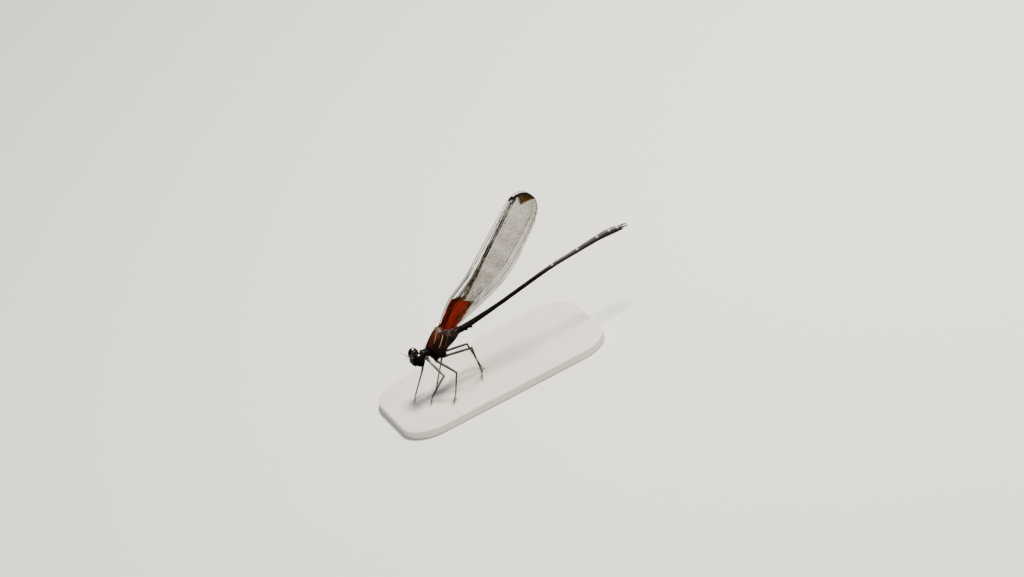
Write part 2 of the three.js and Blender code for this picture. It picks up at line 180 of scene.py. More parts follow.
# Thorax: one hard shell of cuticle, leaning back, with the neck shield in front of it. Its side
# seams run up towards the tail, red-brown in front, near black behind and below, with thin ochre
# lines along the seams. Lofted bodies are fused into one skin, then grooved and coloured.
THORAX = np.array([  # x, underside, back, half width
    (-5.2, 7.6, 8.95, 0.78), (-4.3, 6.8, 9.9, 1.3), (-3.3, 6.25, 10.8, 1.62), (-2.2, 6.75, 11.6, 1.78),
    (-1.1, 7.3, 11.6, 1.75), (0.0, 7.7, 10.75, 1.45), (1.0, 8.15, 10.05, 1.05), (1.65, 8.5, 9.95, 0.72)])
NECK_SHIELD = np.array([
    (-6.75, 7.75, 8.5, 0.42), (-6.2, 7.3, 9.0, 0.82), (-5.6, 7.15, 9.15, 0.92), (-4.9, 7.4, 8.9, 0.8)])
NECK_LOBES = [  # centre and radii: two humps of the neck shield, its front and rear rims, the neck
    ((-5.85, 0.36, 8.72), (0.42, 0.44, 0.4)), ((-5.85, -0.36, 8.72), (0.42, 0.44, 0.4)),
    ((-6.35, 0, 8.3), (0.2, 0.7, 0.62)), ((-5.3, 0, 8.6), (0.24, 0.82, 0.56)),
    ((-6.75, 0, 8.15), (0.5, 0.42, 0.4))]
SIDE_LOBES = [  # the same, on the right side: four bosses at the wing roots, two hip sockets
    ((-0.75, 1.3, 11.0), (0.6, 0.3, 0.42)), ((0.65, 0.75, 10.3), (0.55, 0.34, 0.36)),
    ((-0.05, 1.12, 10.6), (0.34, 0.26, 0.3)), ((-1.5, 1.2, 11.15), (0.4, 0.34, 0.32)),
    ((-2.6, 1.0, 6.75), (0.75, 0.62, 0.5)), ((-4.0, 0.95, 6.85), (0.62, 0.55, 0.5))]
SIDES = {"left": -1, "right": 1}  # the sign of y
SEAM_LEAN = math.radians(51)
SEAMS = {"shoulder": -8.97, "middle": -7.78, "hind": -6.78}
GROOVE_MM, KEEL_MM = 0.05, 0.07


def flow(values, t):
    """Catmull-Rom curve through equally spaced values, read at t from 0 to 1."""
    values = np.asarray(values, float)
    last = len(values) - 1
    at = np.clip(np.asarray(t, float) * last, 0, last - 1e-9)
    i = at.astype(int)
    f = (at - i)[..., None] if values.ndim > 1 else at - i
    a, b, c, d = (values[np.clip(i + k, 0, last)] for k in (-1, 0, 1, 2))
    return 0.5 * (2 * b + (c - a) * f + (2 * a - 5 * b + 4 * c - d) * f ** 2
                  + (3 * b - a - 3 * c + d) * f ** 3)


def closed_skin(grid):
    """Rings of points (rings x sides x 3) to points and faces: quads between rings, a fan per end."""
    rings, sides, _ = grid.shape
    index = np.arange(rings * sides).reshape(rings, sides)
    a, d = index[:-1], index[1:]
    quads = np.stack((a, np.roll(a, -1, 1), np.roll(d, -1, 1), d), -1).reshape(-1, 4)
    points = np.concatenate((grid.reshape(-1, 3), [grid[0].mean(0), grid[-1].mean(0)]))
    near = np.stack((np.roll(index[0], -1), index[0], np.full(sides, rings * sides)), -1)
    far = np.stack((index[-1], np.roll(index[-1], -1), np.full(sides, rings * sides + 1)), -1)
    middle = grid.reshape(-1, 3).mean(0)
    p, q, r = (points[quads[:, k]] - middle for k in (0, 1, 2))
    inside_out = np.einsum("ij,ij->i", p, np.cross(q, r)).sum() < 0
    faces = [quads, near, far]
    return points, [face[:, ::-1] for face in faces] if inside_out else faces


def oval_body(stations, rings, sides, inset=0.0):
    """Upright oval sections: y = half * cos^0.85, z = middle + height / 2 * sin^0.85."""
    x, low, high, half = flow(stations, np.linspace(0, 1, rings)).T
    turn = np.linspace(0, 2 * np.pi, sides, endpoint=False)
    wide, tall = (np.sign(w) * np.abs(w) ** 0.85 for w in (np.cos(turn), np.sin(turn)))
    grid = np.empty((rings, sides, 3))
    grid[..., 0] = x[:, None]
    grid[..., 1] = (half - inset)[:, None] * wide
    grid[..., 2] = ((low + high) / 2)[:, None] + ((high - low) / 2 - inset)[:, None] * tall
    return closed_skin(grid)


def ball(centre, radii, rings=24, sides=32):
    """An ellipsoid: latitude from just short of one pole to the other along z, longitude round it."""
    polar = np.linspace(0.02, np.pi - 0.02, rings)[:, None]
    turn = np.linspace(0, 2 * np.pi, sides, endpoint=False)[None]
    unit = np.stack((np.sin(polar) * np.cos(turn), np.sin(polar) * np.sin(turn),
                     np.cos(polar) + 0 * turn), -1)
    return closed_skin(unit * np.array(radii) + np.array(centre))


def lobes(shapes, side=1, rings=24, sides=32):
    """Ellipsoids from pairs of centre and radii, set to the right side or, with -1, to the left."""
    return [ball((x, side * y, z), radii, rings, sides) for (x, y, z), radii in shapes]


def tube(path, radii, sides=12, steps=24):
    """Carries a circle along a smooth path; radii flow along it and both ends are rounded off."""
    t = np.linspace(0, 1, steps)
    centre, radius = flow(path, t), flow(radii, t)
    cap = 0.35 * radius[[0, -1]]
    ahead, past = centre[1] - centre[0], centre[-1] - centre[-2]
    start = centre[0] - ahead / np.linalg.norm(ahead) * cap[0]
    end = centre[-1] + past / np.linalg.norm(past) * cap[1]
    centre = np.concatenate((start[None], centre, end[None]))
    radius = np.concatenate((radius[:1] * 0.6, radius, radius[-1:] * 0.6))
    along = np.gradient(centre, axis=0)
    along /= np.linalg.norm(along, axis=1, keepdims=True)
    spare = np.eye(3)[np.argmin(np.abs(centre[-1] - centre[0]))]
    side = np.cross(spare, along)
    side /= np.linalg.norm(side, axis=1, keepdims=True)
    other = np.cross(along, side)
    turn = np.linspace(0, 2 * np.pi, sides, endpoint=False)[None, :, None]
    reach = radius[:, None, None]
    return closed_skin(centre[:, None]
                       + reach * (np.cos(turn) * side[:, None] + np.sin(turn) * other[:, None]))


def fill_mesh(mesh, points, face_sets):
    """Points and face index arrays into a mesh."""
    corners = np.concatenate([faces.ravel() for faces in face_sets])
    sizes = np.concatenate([np.full(len(faces), faces.shape[1]) for faces in face_sets])
    mesh.vertices.add(len(points))
    mesh.vertices.foreach_set("co", np.ascontiguousarray(points, float).ravel())
    mesh.loops.add(len(corners))
    mesh.loops.foreach_set("vertex_index", corners.astype(np.int32))
    mesh.polygons.add(len(sizes))
    mesh.polygons.foreach_set("loop_start", np.concatenate(([0], np.cumsum(sizes)[:-1])).astype(np.int32))
    mesh.update(calc_edges=True)
    mesh.validate()


def gathered(shells):
    """Several closed shells as one set of points and faces."""
    starts = np.cumsum([0] + [len(points) for points, _ in shells])
    faces = [face + start for (_, sets), start in zip(shells, starts) for face in sets]
    return np.concatenate([points for points, _ in shells]), faces


def fused(shells, voxel, smoothing):
    """Melts overlapping shells into one skin with voxels of that size in mm, then smooths it."""
    points, faces = gathered(shells)
    mesh = bpy.data.meshes.new("melt")
    fill_mesh(mesh, points, faces)
    melt = bpy.data.objects.new("melt", mesh)
    bpy.context.collection.objects.link(melt)
    remesh = melt.modifiers.new("voxels", "REMESH")
    remesh.mode, remesh.voxel_size = "VOXEL", voxel
    relax = melt.modifiers.new("relax", "SMOOTH")
    relax.factor, relax.iterations = 0.5, smoothing
    result = melt.evaluated_get(bpy.context.evaluated_depsgraph_get()).to_mesh()
    found = np.empty(len(result.vertices) * 3)
    result.vertices.foreach_get("co", found)
    normals = np.empty(len(result.vertices) * 3)
    result.vertex_normals.foreach_get("vector", normals)
    quads = np.empty(len(result.loops), np.int32)
    result.loops.foreach_get("vertex_index", quads)
    bpy.data.objects.remove(melt)
    return found.reshape(-1, 3), normals.reshape(-1, 3), [quads.reshape(-1, 4)]


def piece(name, points, faces, material, tint=None):
    """A smooth object of the animal, its points in mm, coloured by a point attribute named tint."""
    mesh = bpy.data.meshes.new(name)
    fill_mesh(mesh, in_row(points), faces)
    mesh.shade_smooth()
    if tint is not None:
        mesh.color_attributes.new("tint", "FLOAT_COLOR", "POINT").data.foreach_set(
            "color", np.ascontiguousarray(tint, float).ravel())
    mesh.materials.append(material)
    thing = bpy.data.objects.new(name, mesh)
    bpy.context.collection.objects.link(thing)
    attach(thing, "root")
    return thing


def smooth(value, low, high):
    """Rises from 0 at low to 1 at high, as 3t^2 - 2t^3."""
    t = np.clip((value - low) / (high - low), 0, 1)
    return t * t * (3 - 2 * t)


def line(value, centre, width):
    """A soft line: 1 at its centre, falling as a bell curve of that width."""
    return np.exp(-((value - centre) / width) ** 2)


def layered(ground, layers):
    """Lays colours over a ground colour, each with a mask between 0 and 1 for every point."""
    count = len(layers[0][0])
    tint = np.tile(linear(ground), (count, 1))
    for mask, colour in layers:
        tint += np.clip(mask, 0, 1)[:, None] * (np.array(linear(colour)) - tint)
    return tint


MOTTLE_MM, FOLD_MM, PIT_MM, PIT_DEPTH_MM = 0.8, 0.35, 0.09, 0.01


def cuticle(name, roughness, pit=0.4, coat=0.12, specular=0.2):
    """Insect cuticle, a shell hardened in the air under a thin waxy coat: deep, even gloss.

    Its colour is the tint attribute, varied a little. Where the attribute's alpha is below 1, soft
    folded skin shows as chalky mottles. The pits are coarser than real ones, so that they show.
    """
    def build(nodes):
        tint = add(nodes, "ShaderNodeVertexColor", layer_name="tint")
        place = add(nodes, "ShaderNodeTexCoord").outputs["Object"]
        mottle = add(nodes, "ShaderNodeTexNoise", {"Vector": place, "Scale": 1000 / MOTTLE_MM,
                                                   "Detail": 3.0})
        value = add(nodes, "ShaderNodeMapRange", {"Value": mottle.outputs["Fac"], "To Min": 0.75,
                                                  "To Max": 1.25})
        varied = add(nodes, "ShaderNodeHueSaturation", {"Color": tint.outputs["Color"],
                                                        "Value": value.outputs["Result"]})
        folds = add(nodes, "ShaderNodeTexNoise", {"Vector": place, "Scale": 1000 / FOLD_MM,
                                                  "Detail": 4.0})
        chalk = add(nodes, "ShaderNodeMapRange", {"Value": folds.outputs["Fac"], "From Min": 0.44,
                                                  "From Max": 0.58})
        soft = add(nodes, "ShaderNodeMath", {0: 1.0, 1: tint.outputs["Alpha"]}, operation="SUBTRACT")
        share = add(nodes, "ShaderNodeMath", {0: soft.outputs[0], 1: chalk.outputs["Result"]},
                    operation="MULTIPLY")
        shade = add(nodes, "ShaderNodeMix", {0: share.outputs[0], 6: varied.outputs["Color"],
                                             7: linear("#6d5a53")}, data_type="RGBA")
        pits = add(nodes, "ShaderNodeTexNoise", {"Vector": place, "Scale": 1000 / PIT_MM})
        bump = add(nodes, "ShaderNodeBump", {"Height": pits.outputs["Fac"], "Strength": pit,
                                             "Distance": PIT_DEPTH_MM * 0.001})
        return {"Base Color": shade.outputs[2], "Normal": bump.outputs["Normal"],
                "Coat Weight": coat, "Coat Roughness": 0.08, "Specular IOR Level": specular}
    return painted(name, roughness, build=build)


chest = [oval_body(THORAX, 40, 48, 0.06), oval_body(NECK_SHIELD, 20, 32, 0.1)] + lobes(NECK_LOBES)
for side in SIDES.values():
    chest += lobes(SIDE_LOBES, side)
points, normals, faces = fused(chest, voxel=0.055, smoothing=4)
x, y, z = points.T
seam = x * math.sin(SEAM_LEAN) - z * math.cos(SEAM_LEAN)  # mm across the leaning seams
climb = x * math.cos(SEAM_LEAN) + z * math.sin(SEAM_LEAN)  # mm up along them
flank = smooth(np.abs(y), 0.55, 0.9)
shell = smooth(x, -5.0, -4.7)  # 0 on the neck shield, 1 on the thorax proper
groove = sum(line(seam, at, 0.06) for at in SEAMS.values()) * flank * shell * smooth(climb, 4.6, 5.2)
keel = line(y, 0, 0.07) * smooth(normals[:, 2] - normals[:, 0], 0.6, 1.0) * shell
keel = keel * (1 - smooth(x, -2.6, -2.1))
points = points + normals * (KEEL_MM * keel - GROOVE_MM * groove)[:, None]
front = (1 - smooth(seam, SEAMS["shoulder"] - 0.05, SEAMS["shoulder"] + 0.05)) * shell
crown = smooth(climb, 6.2, 6.9)
rear = smooth(climb, 7.35, 7.6) * smooth(seam, SEAMS["shoulder"] - 0.3, SEAMS["shoulder"] + 0.2)
below = 1 - smooth(climb + 0.25 * (seam + 8), 3.9, 4.4)
tint = layered("#200f0a", [
    (front, "#381610"),  # red-brown in front of the shoulder seam, redder on top
    (front * crown, "#4b1f14"),
    # painted orange-red highlights high on the flank, in front of and just behind the shoulder seam
    (line(seam, SEAMS["shoulder"] - 0.28, 0.12) * smooth(climb, 6.5, 7.2) * flank, "#a8481a"),
    (smooth(seam, -8.75, -8.6) * (1 - smooth(seam, -8.35, -8.2)) * crown * flank, "#531f13"),
    (smooth(seam, SEAMS["hind"], SEAMS["hind"] + 0.5) * shell, "#18120c"),
    (line(y, 0, 0.16) * front, "#150b08"),  # the black keel, then the ochre lines on the seams
    (line(seam, SEAMS["shoulder"] + 0.08, 0.05) * flank * smooth(climb, 5.2, 6.2) * shell, "#a97f63"),
    (line(seam, SEAMS["middle"], 0.06) * flank * smooth(climb, 4.7, 5.5), "#c79f77"),
    (line(seam, SEAMS["hind"], 0.05) * flank * smooth(climb, 4.9, 5.5), "#57482f"),
    (below * shell, "#08090c"),
    (rear, "#2a1b18"),  # the soft skin among the wing roots
    (1 - shell, "#0b0a0c"),  # the neck shield, with a reddish spot on each hump
    (line(x, -5.9, 0.18) * line(z, 8.78, 0.13) * smooth(np.abs(y), 0.4, 0.6) * 0.8, "#5e2012")])
tint[:, 3] = 1 - rear * np.clip(line(seam, -8.45, 0.5) + line(seam, -6.8, 0.5), 0, 1)
thorax = piece("thorax_skin", points, faces, cuticle("thorax_cuticle", 0.3), tint)
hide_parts("thorax", "prothorax")
thorax_points, thorax_normals = points, normals


# Head: a short wide capsule of black polished cuticle, held across the neck. Brow, face plate and
# upper lip are fused into one skin, and the face has a painted grey sheen between the eyes. Three
# small eyes of clear cuticle sit on the crown and look like dark glass beads.
HEAD_LOBES = [  # centre and radii: skull, brow, face plate, nape, crown, root of the upper lip
    ((-7.35, 0, 8.5), (0.84, 1.5, 0.97)), ((-7.95, 0, 8.3), (0.7, 0.86, 0.7)),
    ((-8.3, 0, 7.98), (0.42, 0.72, 0.34)), ((-7.0, 0, 8.2), (0.5, 1.1, 0.8)),
    ((-7.7, 0, 9.2), (0.4, 0.5, 0.26)), ((-8.0, 0, 7.65), (0.55, 0.75, 0.45))]
CHEEK_LOBES = [  # the same, on the right side: cheek, inner rim of the eye, feeler socket, temple
    ((-7.9, 0.82, 7.85), (0.45, 0.42, 0.6)), ((-7.85, 0.8, 8.45), (0.5, 0.4, 0.5)),
    ((-8.16, 0.6, 8.78), (0.26, 0.26, 0.24)), ((-7.05, 0.75, 8.9), (0.4, 0.45, 0.4))]
FACE_SEAM_Z, FACE_SEAM_MM = 8.16, 0.035
BEAD_CENTRES = ((-8.05, 0, 9.38), (-7.62, 0.26, 9.46), (-7.62, -0.26, 9.46))
BEAD_RADIUS = 0.1

head_parts = lobes(HEAD_LOBES)
for side in SIDES.values():
    head_parts += lobes(CHEEK_LOBES, side)
points, normals, faces = fused(head_parts, voxel=0.045, smoothing=4)
x, y, z = points.T
face_seam = line(z, FACE_SEAM_Z, 0.035) * (x < -7.9) * (np.abs(y) < 0.8)
points = points - normals * (FACE_SEAM_MM * face_seam)[:, None]
# painted grey sheen on the face between the eyes
between = smooth(-x, 7.6, 8.0) * (1 - smooth(np.abs(y), 0.75, 1.0)) * smooth(z, 7.5, 7.9)
tint = layered("#070708", [(between, "#343335")])
head = piece("head_skin", points, faces, cuticle("head_cuticle", 0.3, pit=0.2), tint)
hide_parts("head")

points, faces = gathered([ball(centre, [BEAD_RADIUS] * 3, 12, 16) for centre in BEAD_CENTRES])
ocelli = piece("ocelli", points, faces, painted("ocellus_clear_cuticle", 0.1, "#15100e"))


# Eyes: two domes of thousands of facets, black and very glossy, that bulge at both ends of the head.
# The facets are drawn as a cell pattern about three times their real 0.02 mm, so that they show, and
# the coat mirrors more than chitin's index of 1.56 would, so that it shines as it does in the sun.
EYE_CENTRE, EYE_RADII = (-7.2, 1.6, 8.36), (1.03, 0.95, 1.33)
FACET_MM, FACET_RELIEF_MM = 0.06, 0.002


def facets(nodes):
    """Voronoi cells as small domes by bump, each a little less black towards its edge."""
    place = add(nodes, "ShaderNodeTexCoord").outputs["Object"]
    cells = add(nodes, "ShaderNodeTexVoronoi", {"Vector": place, "Scale": 1000 / FACET_MM,
                                                "Randomness": 0.35})
    bump = add(nodes, "ShaderNodeBump", {"Height": cells.outputs["Distance"], "Strength": 0.08,
                                         "Distance": FACET_RELIEF_MM * 0.001}, invert=True)
    shade = add(nodes, "ShaderNodeMix", {0: cells.outputs["Distance"], 6: linear("#050506"),
                                         7: linear("#0a090a")}, data_type="RGBA")
    return {"Base Color": shade.outputs[2], "Normal": bump.outputs["Normal"], "Coat Weight": 1.0,
            "Coat Roughness": 0.26, "Coat IOR": 1.9, "Specular IOR Level": 0.1}


eye_lens = painted("eye_faceted_cuticle", 0.18, build=facets)
for name, side in SIDES.items():
    points, faces = lobes([(EYE_CENTRE, EYE_RADII)], side, 48, 72)[0]
    eye = piece(f"eye_{name}_dome", points, faces, eye_lens)
    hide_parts(f"eye_{name}")


# Mouthparts: the upper lip, two jaws behind it, and the lower lip with its side lobes and two small
# hooks. All are black cuticle, lying close together, with a painted blue-grey sheen on the upper lip.
MOUTH_LOBES = [  # centre and radii: upper lip, lower lip, its two side lobes
    ((-8.22, 0, 7.42), (0.32, 0.62, 0.3)), ((-7.75, 0, 7.1), (0.5, 0.5, 0.26)),
    ((-7.55, 0.3, 7.0), (0.42, 0.24, 0.2)), ((-7.55, -0.3, 7.0), (0.42, 0.24, 0.2))]
JAW = [((-7.95, 0.62, 7.35), (0.34, 0.24, 0.34))]
LIP_HOOK = np.array([(-8.1, 0.3, 7.15), (-8.18, 0.34, 6.95), (-8.12, 0.3, 6.78)])

jaws = lobes(MOUTH_LOBES)
for side in SIDES.values():
    jaws += lobes(JAW, side)
for side in SIDES.values():
    jaws.append(tube(LIP_HOOK * (1, side, 1), [0.09, 0.07, 0.03], 8, 8))
points, faces = gathered(jaws)
# painted blue-grey sheen on the front of the upper lip
tint = layered("#08090b", [(smooth(-points[:, 0], 8.2, 8.5), "#171a20")])
mouth = piece("mouthparts_set", points, faces,
              cuticle("mouthpart_cuticle", 0.45, pit=0.2, coat=0.0), tint)
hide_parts("mouthparts")


# Antennae: two short feelers of dark brown cuticle in sockets beside the brow. Each is a thick first
# joint, a second one and a bristle-thin whip, set end to end.
FEELER = np.array([(-8.2, 0.62, 8.75), (-8.5, 0.78, 8.98), (-8.9, 0.98, 9.35), (-9.4, 1.35, 9.85),
                   (-9.95, 1.75, 10.3)])

feeler_cuticle = painted("antenna_cuticle", 0.35, "#17120f")
for name, side in SIDES.items():
    knots = FEELER * (1, side, 1)
    points, faces = gathered([tube(knots[:2], [0.13, 0.12], 12, 6), tube(knots[1:3], [0.09, 0.07], 10, 8),
                              tube(knots[2:], [0.045, 0.03, 0.012], 8, 20)])
    feeler = piece(f"antenna_{name}_whip", points, faces, feeler_cuticle)
    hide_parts(f"antenna_{name}")


# Abdomen: ten rings of black cuticle in one long tube, each flared at its rear edge over the next,
# with a fold along both sides below. A painted olive sheen runs along the top of the front rings.
# A grey bloom covers the rear rings, paler on their backs as painted sheen, and painted highlights
# lie on top of the joints. Under the second ring sit the male's small clasping lobes.
ABDOMEN_LINE = np.array([(1.3, 9.3), (3.4, 9.37), (5.7, 9.6), (10.5, 10.2), (16.9, 11.25),
                         (23.0, 12.2), (28.5, 12.65), (32.9, 12.98), (35.4, 13.0), (37.9, 12.72)])
JOINTS = np.array([1.95, 2.9, 5.1, 10.5, 16.9, 23.0, 28.5, 32.85, 35.35, 37.05, 37.9])
JOINT_RADII = np.array([0.66, 0.64, 0.56, 0.42, 0.4, 0.42, 0.47, 0.56, 0.68, 0.6, 0.46])
TUBE_START, TUBE_END = 1.2, 38.0
START_RADIUS, END_RADIUS = 0.55, 0.4
BLENDED_STATIONS = 17
FLARE_MM, FLARE_LENGTH, NECK_LENGTH = 0.05, 0.22, 0.09
FOLD_TURN, FOLD_SHARE, RIDGE_SHARE = 2.2, 0.09, 0.03
JOINT_LINE_BEHIND = 0.05
CLASP_LOBES = [  # centre and radii: two front hooks, rear lobe and its tip, the plate above them
    ((3.45, 0.12, 8.72), (0.28, 0.16, 0.24)), ((3.45, -0.12, 8.72), (0.28, 0.16, 0.24)),
    ((4.35, 0, 8.86), (0.34, 0.26, 0.3)), ((4.62, 0, 8.66), (0.16, 0.12, 0.16)),
    ((3.9, 0, 8.95), (0.6, 0.26, 0.16))]

track = flow(ABDOMEN_LINE, np.linspace(0, 1, 2000))
x = np.concatenate((np.linspace(TUBE_START, JOINTS[-1], 620), [JOINTS[-1] + 0.02]))
z = np.interp(x, track[:, 0], track[:, 1])
stations = np.concatenate(([TUBE_START], JOINTS, [TUBE_END]))
radius = np.interp(x, stations, np.concatenate(([START_RADIUS], JOINT_RADII, [END_RADIUS])))
radius = np.convolve(np.pad(radius, BLENDED_STATIONS // 2, mode="edge"),
                     np.ones(BLENDED_STATIONS) / BLENDED_STATIONS, "valid")
since = x - JOINTS[np.clip(np.searchsorted(JOINTS, x, "right") - 1, 0, None)]
until = JOINTS[np.clip(np.searchsorted(JOINTS, x, "left"), 0, 10)] - x
radius += FLARE_MM * line(until, 0, FLARE_LENGTH) - FLARE_MM * line(since, 0, NECK_LENGTH)
radius[-1] *= 0.55  # the last station rounds off the end
slope = np.gradient(z, x)
turn = np.linspace(0, 2 * np.pi, 44, endpoint=False)
folds = line(np.cos(turn + FOLD_TURN), 1, 0.05) + line(np.cos(turn - FOLD_TURN), 1, 0.05)
outline = 1 - FOLD_SHARE * folds + RIDGE_SHARE * line(turn, 0, 0.2)
reach = radius[:, None] * outline
grid = np.empty((len(x), len(turn), 3))
lift = reach * np.cos(turn)
grid[..., 0] = x[:, None] - lift * slope[:, None]
grid[..., 1] = reach * 0.96 * np.sin(turn)
grid[..., 2] = z[:, None] + lift
body = closed_skin(grid)
back = np.concatenate((np.broadcast_to(np.cos(turn), lift.shape).ravel(), [0, 0]))
along = np.concatenate((np.broadcast_to(x[:, None], lift.shape).ravel(), [TUBE_START, TUBE_END]))
edge = np.min(np.abs(along[:, None] - (JOINTS[None, 5:] + JOINT_LINE_BEHIND)), axis=1)
early = np.min(np.abs(along[:, None] - (JOINTS[None, 1:5] + JOINT_LINE_BEHIND)), axis=1)
# grey bloom on the rear rings, paler on their backs as a painted sheen
rear_bloom_and_sheen = smooth(back, 0.1, 0.8) * smooth(along, 19, 27)
points, faces = gathered([body] + lobes(CLASP_LOBES, 1, 14, 18))
bare = np.zeros(len(points) - len(back))


def pad(mask):
    """A mask of the long tube, with nothing on the lobes below it."""
    return np.concatenate((mask, bare))


tint = layered("#0b0a08", [
    # painted olive sheen along the top of the front rings
    (pad(smooth(back, -0.2, 0.6) * (1 - smooth(along, 12, 22)) * 0.5), "#1c1a14"),
    (pad(smooth(along, 19, 27) * 0.8), "#2a282a"),  # the rear rings, their bloom and a warm midline
    # the paler backs: grey bloom with a painted sheen on top
    (pad(rear_bloom_and_sheen * 0.75), "#413f42"),
    (pad(rear_bloom_and_sheen * line(back, 0.9, 0.12) * (1 - smooth(along, 26, 30)) * 0.5), "#7a5f5b"),
    # painted highlights on top of the joints, dim on the front rings and bright on the rear ones
    (pad(line(early, 0, 0.08) * smooth(back, 0.1, 0.7) * 0.4), "#4a4436"),  # the joint lines
    (pad(line(edge, 0, 0.17) * smooth(back, 0.3, 0.8)), "#b9b5b9")])
abdomen = piece("abdomen_skin", points, faces, cuticle("abdomen_cuticle", 0.3), tint)
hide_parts(*(f"abdomen_{ring:02d}" for ring in range(1, 11)))


# Claspers at the tail: two upper hooks that curve in like tongs, each with two blunt teeth inside,
# over two short lower ones. They are black cuticle with a grey top.
UPPER_HOOK = np.array([(37.75, 0.24, 12.9), (38.3, 0.46, 12.88), (38.85, 0.5, 12.76),
                       (39.25, 0.3, 12.62)])
LOWER_HOOK = np.array([(37.8, 0.2, 12.45), (38.35, 0.26, 12.42)])
TEETH = [np.array([(38.55, 0.4, 12.8), (38.5, 0.2, 12.76)]),
         np.array([(38.9, 0.4, 12.8), (38.85, 0.18, 12.76)])]

cercus_cuticle = cuticle("cercus_cuticle", 0.32)
for name, side in SIDES.items():
    shells = [tube(UPPER_HOOK * (1, side, 1), [0.17, 0.16, 0.13, 0.05], 14, 24)]
    shells += [tube(tooth * (1, side, 1), [0.07, 0.02], 8, 6) for tooth in TEETH]
    shells.append(tube(LOWER_HOOK * (1, side, 1), [0.14, 0.05], 10, 10))
    points, faces = gathered(shells)
    tint = layered("#18161a", [(smooth(points[:, 2], 12.7, 12.95), "#4d494b")])
    clasper = piece(f"cercus_{name}_hook", points, faces, cercus_cuticle, tint)
    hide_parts(f"cercus_{name}")


# Legs: six thin stilts of near-black cuticle under a thin grey bloom and a painted sheen. Each is a
# hip joint, a ring, thigh, shin, three foot joints and two claws, hinged end to end, with rows of
# stiff bristles.
LEGS = {  # root, hip, knee, ankle, toe
    "fore_left": [(-5.6, -0.3, 8), (-5.6, -0.9, 7.3), (-4.65, -4.3, 4.5), (-7.7, -1.9, 0.5),
                  (-8.6, -3.2, 0.22)],
    "fore_right": [(-5.6, 0.3, 8), (-5.7, 0.9, 7.3), (-6.6, 2.8, 3.9), (-9.7, 1.9, 0.5),
                   (-10.6, 0.6, 0.22)],
    "mid_left": [(-4, -0.35, 7.5), (-4.2, -1, 6.3), (-2.6, -6.3, 5), (-3.9, -4.8, 0.5),
                 (-5.3, -6.9, 0.22)],
    "mid_right": [(-4, 0.35, 7.5), (-4.2, 1, 6.3), (-1.9, 4.3, 3.7), (-5.3, 1.6, 0.5),
                  (-6.3, 0.1, 0.22)],
    "hind_left": [(-2.4, -0.4, 7.6), (-2.6, -1, 6.4), (2.1, -4.9, 7.35), (2.75, -1.9, 0.5),
                  (1.95, -3.9, 0.22)],
    "hind_right": [(-2.4, 0.4, 7.6), (-2.6, 1, 6.4), (3.1, 2.8, 4.5), (3.5, 0.9, 0.5),
                   (3.4, -0.9, 0.22)]}
HIP_RADII, RING_RADII, RING_SHARE = [0.36, 0.44, 0.34], [0.31, 0.27], 0.14
THIGH_RADII, SHIN_RADII, KNEE_RADIUS = [0.22, 0.25, 0.21], [0.18, 0.14, 0.14], 0.22
FOOT_RADII, FOOT_JOINTS, SOLE_DROP = [0.1, 0.12], (0, 0.24, 0.55, 0.97), 0.05
CLAW_RADII, CLAW_LENGTH, CLAW_SPREAD = [0.08, 0.06, 0.015], 0.5, 0.22
CLAW_ARCH, CLAW_DROP, CLAW_TIP_SPREAD = 0.06, 0.16, 1.3
BRISTLES = {  # radius of the limb, degrees of each row from its underside, count, length
    "thigh": (0.26, (-40, 40), 11, 0.55), "shin": (0.18, (-50, 50), 13, 0.8),
    "foot": (0.12, (-60, 60), 6, 0.3)}
BRISTLE_WIDTH, BRISTLE_LEAN = 0.025, 0.55
# share of grey laid over the legs: part bloom, part painted sheen
LEG_BLOOM_AND_SHEEN = 0.4
chance = np.random.default_rng(7)


def spikes(bases, ways, lengths, width):
    """Three-sided bristles: a small triangle at each base, drawn out to a tip along its way."""
    ways = ways / np.linalg.norm(ways, axis=1, keepdims=True)
    spare = np.where(np.abs(ways[:, 2:]) < 0.9, [[0, 0, 1.0]], [[1.0, 0, 0]])
    side = np.cross(ways, spare)
    side /= np.linalg.norm(side, axis=1, keepdims=True)
    other = np.cross(ways, side)
    turn = np.arange(3)[:, None] * 2 * np.pi / 3
    ring = bases[:, None] + width / 2 * (np.cos(turn) * side[:, None] + np.sin(turn) * other[:, None])
    tips = bases + ways * lengths[:, None]
    points = np.concatenate((ring, tips[:, None]), 1).reshape(-1, 3)
    first = 4 * np.arange(len(bases))[:, None]
    corners = ((0, 1, 3), (1, 2, 3), (2, 0, 3), (0, 2, 1))
    return points, [np.concatenate([first + corner for corner in corners])]


def bristle_rows(start, end, radius, angles, count, length):
    """Rows of bristles of uneven spacing and length along a limb, leaning to the limb's end."""
    axis = (end - start) / np.linalg.norm(end - start)
    under = np.array((0, 0, -1.0)) - axis * -axis[2]
    under /= np.linalg.norm(under)
    across = np.cross(axis, under)
    share = np.tile(np.linspace(0.1, 0.96, count), len(angles))
    share = share + chance.normal(0, 0.01, len(share))
    angle = np.repeat(np.radians(angles), count)[:, None]
    out = np.cos(angle) * under + np.sin(angle) * across
    bases = start + share[:, None] * (end - start) + out * radius * 0.9
    reach = length * chance.uniform(0.75, 1.15, len(share))
    ways = out + BRISTLE_LEAN * axis + chance.normal(0, 0.08, out.shape)
    return spikes(bases, ways, reach, BRISTLE_WIDTH)


